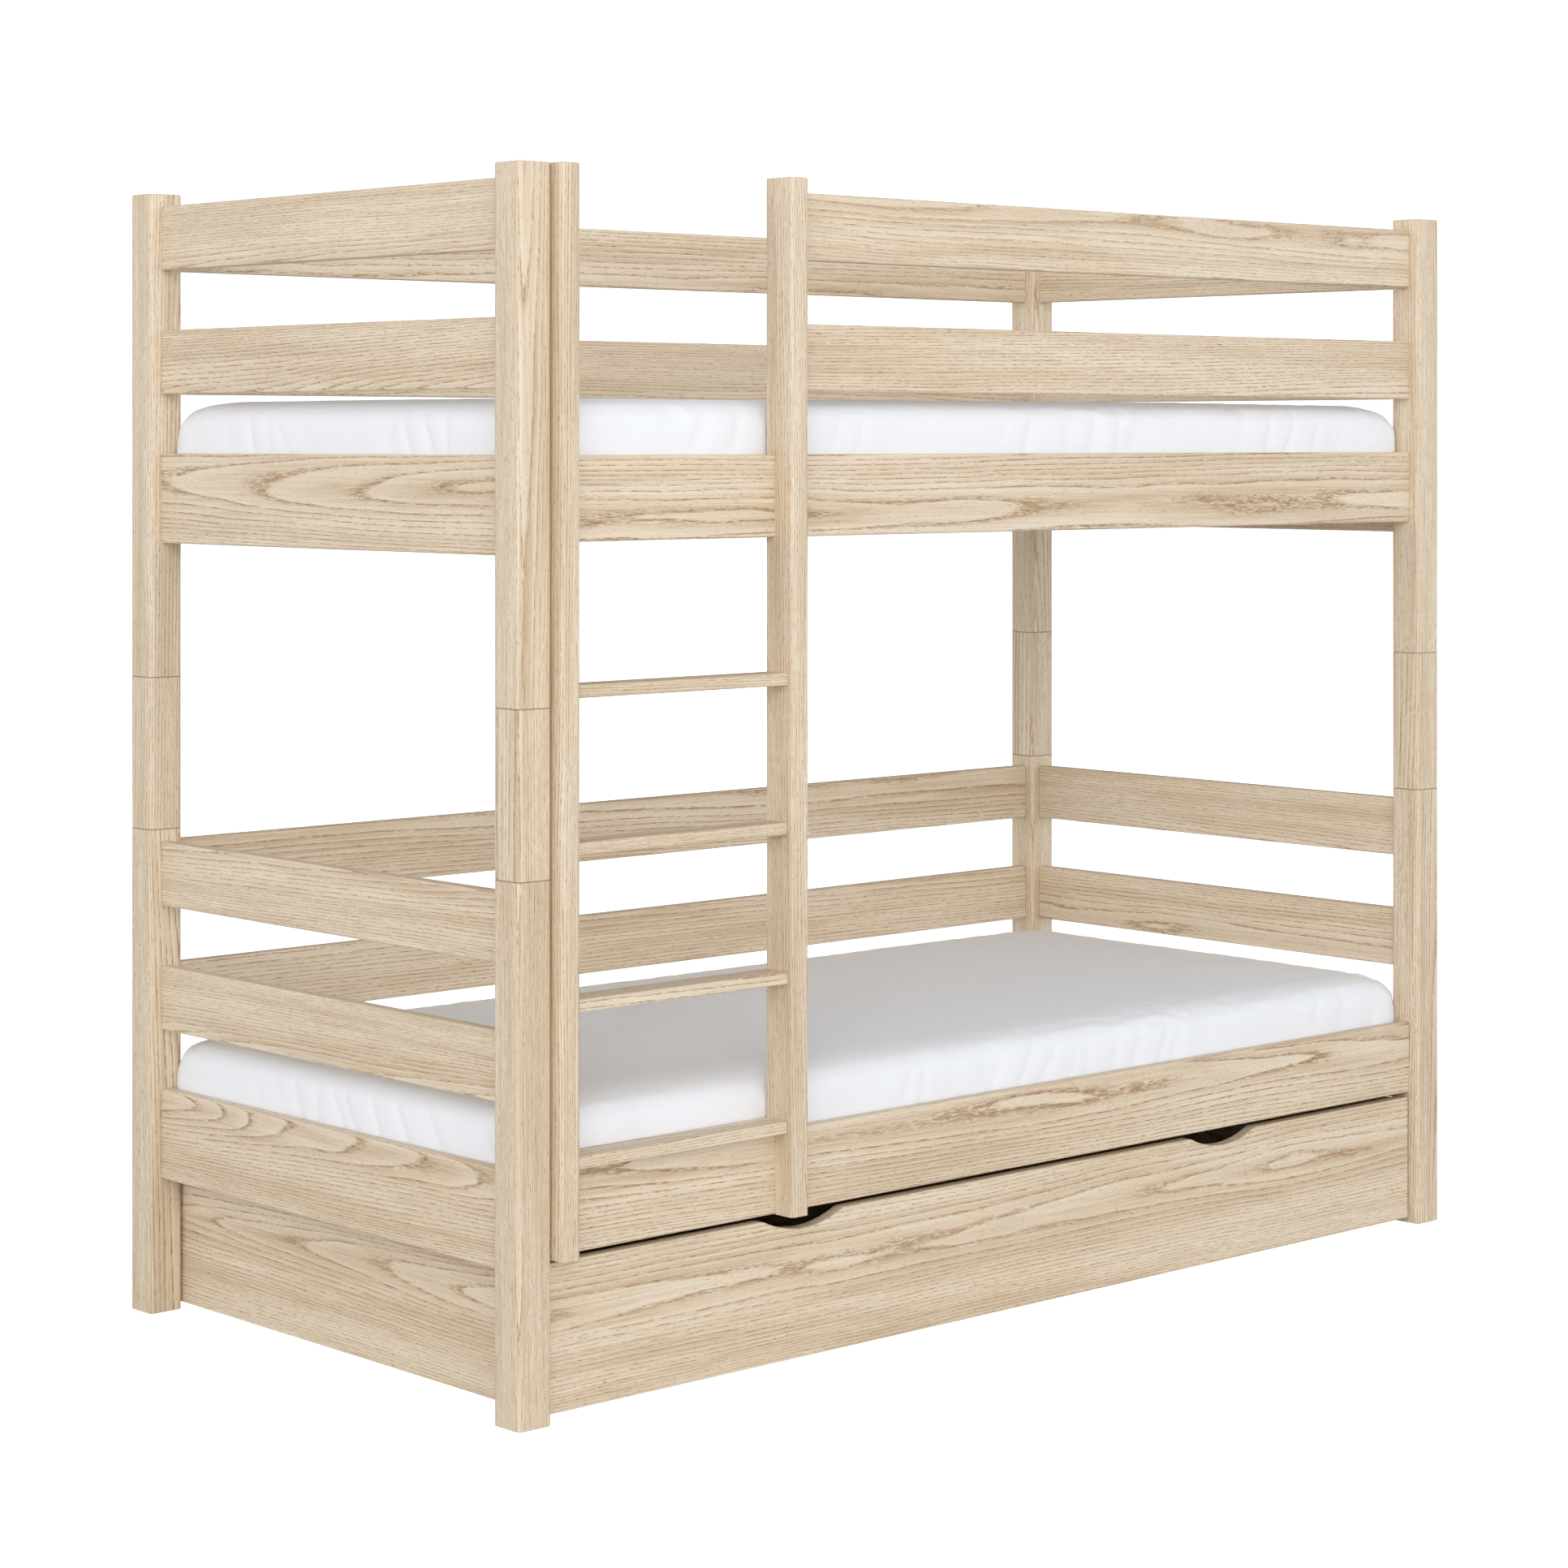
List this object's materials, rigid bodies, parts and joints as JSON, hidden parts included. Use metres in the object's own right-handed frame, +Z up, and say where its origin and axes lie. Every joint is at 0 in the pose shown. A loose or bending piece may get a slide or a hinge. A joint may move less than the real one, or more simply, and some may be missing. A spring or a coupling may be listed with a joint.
{
  "type": "bunk bed with ladder",
  "caption": "Oak bunk bed: two stacked single beds on square posts, fixed ladder and guard rails at the front, rolling drawer below, mattresses in fitted sheets.",
  "frame": {"origin": "on the floor, in the middle of the overall box (posts and ladder together)", "axes": "+X along the beds towards the end without the ladder, -Y out of the front (ladder side), +Z up"},
  "size_m": [1.9, 0.932, 1.625],
  "materials": {
    "oak": "pale oak, matt oil, open pores",
    "spruce": "planed, untreated",
    "drawer_board": "thin veneered board",
    "beech": "fluted dowel rod, untreated",
    "zinc_steel": "zinc plated",
    "castor_plastic": "moulded, matt",
    "sheet": "white woven cotton fitted sheet"
  },
  "bodies": {
    "bed_frame": {"fitting_screws": "zinc_steel", "ladder_rung_1": "oak", "ladder_rung_2": "oak", "ladder_rung_3": "oak", "ladder_rung_4": "oak", "ladder_stile_left": "oak", "ladder_stile_right": "oak", "lower_back_board": "oak", "lower_back_mid_rail": "oak", "lower_back_top_rail": "oak", "lower_cleats": "spruce", "lower_front_board": "oak", "lower_left_board": "oak", "lower_left_mid_rail": "oak", "lower_left_top_rail": "oak", "lower_post_back_left": "oak", "lower_post_back_right": "oak", "lower_post_front_left": "oak", "lower_post_front_right": "oak", "lower_right_board": "oak", "lower_right_mid_rail": "oak", "lower_right_top_rail": "oak", "lower_slats": "spruce", "post_pins": "zinc_steel", "post_slot_plates": "zinc_steel", "post_spacers": "oak", "rail_dowels": "beech", "rail_hooks": "zinc_steel", "upper_back_board": "oak", "upper_back_mid_rail": "oak", "upper_back_top_rail": "oak", "upper_cleats": "spruce", "upper_front_board": "oak", "upper_front_mid_guard": "oak", "upper_front_top_guard": "oak", "upper_left_board": "oak", "upper_left_mid_rail": "oak", "upper_left_top_rail": "oak", "upper_post_back_left": "oak", "upper_post_back_right": "oak", "upper_post_front_left": "oak", "upper_post_front_right": "oak", "upper_right_board": "oak", "upper_right_mid_rail": "oak", "upper_right_top_rail": "oak", "upper_slats": "spruce", "wood_screws": "zinc_steel"},
    "drawer": {"drawer_front": "oak", "drawer_side_left": "oak", "drawer_side_right": "oak", "drawer_back": "oak", "drawer_floor": "drawer_board", "drawer_bearers": "spruce", "castor_brackets": "zinc_steel", "castor_axles": "zinc_steel", "drawer_screws": "zinc_steel"},
    "front_wheels": {"front_wheels": "castor_plastic"},
    "rear_wheels": {"rear_wheels": "castor_plastic"},
    "lower_mattress": {"lower_mattress": "sheet"},
    "upper_mattress": {"upper_mattress": "sheet"}
  },
  "joints": [
    {"name": "drawer_slide", "type": "slide", "parent": "bed_frame", "child": "drawer", "axis": [0, -1, 0], "range_m": [0, 0.8]},
    {"name": "front_wheels_spin", "type": "hinge", "parent": "drawer", "child": "front_wheels", "pos_m": [0, -0.352, 0.015], "axis": [1, 0, 0], "continuous": true},
    {"name": "rear_wheels_spin", "type": "hinge", "parent": "drawer", "child": "rear_wheels", "pos_m": [0, 0.357, 0.015], "axis": [1, 0, 0], "continuous": true},
    {"name": "lower_mattress_lift", "type": "slide", "parent": "bed_frame", "child": "lower_mattress", "axis": [0, 0, 1], "range_m": [0, 0.3]},
    {"name": "upper_mattress_lift", "type": "slide", "parent": "bed_frame", "child": "upper_mattress", "axis": [0, 0, 1], "range_m": [0, 0.3]}
  ],
  "couplings": [
    {"joint": "front_wheels_spin", "follows": "drawer_slide", "rad_per_m": 66.667},
    {"joint": "rear_wheels_spin", "follows": "drawer_slide", "rad_per_m": 66.667}
  ]
}
